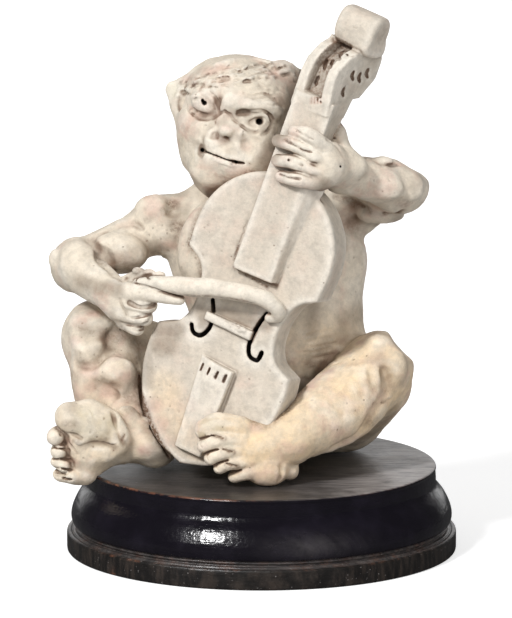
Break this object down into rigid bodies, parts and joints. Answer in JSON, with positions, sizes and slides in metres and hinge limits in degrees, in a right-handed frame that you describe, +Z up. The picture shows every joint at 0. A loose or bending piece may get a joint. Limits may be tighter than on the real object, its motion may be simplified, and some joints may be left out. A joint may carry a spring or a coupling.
{
  "type": "figurine",
  "caption": "Cream unglazed stoneware imp seated cross-legged, bowing a small cello, on a round turned black wooden plinth.",
  "frame": {"origin": "centre of the plinth's round underside, which is the face the object stands on", "axes": "+Z up; -Y is the side the figure faces; +X is the figure's left hand side, where the cello's neck leans"},
  "size_m": [0.1022, 0.098, 0.1416],
  "materials": {
    "bisque": null,
    "black_wood": "turned wood stained black and French polished, glossy on the moulding, dull and scuffed on the top and the foot"
  },
  "bodies": {
    "root": {"imp_with_cello": "bisque", "plinth": "black_wood"}
  },
  "joints": []
}
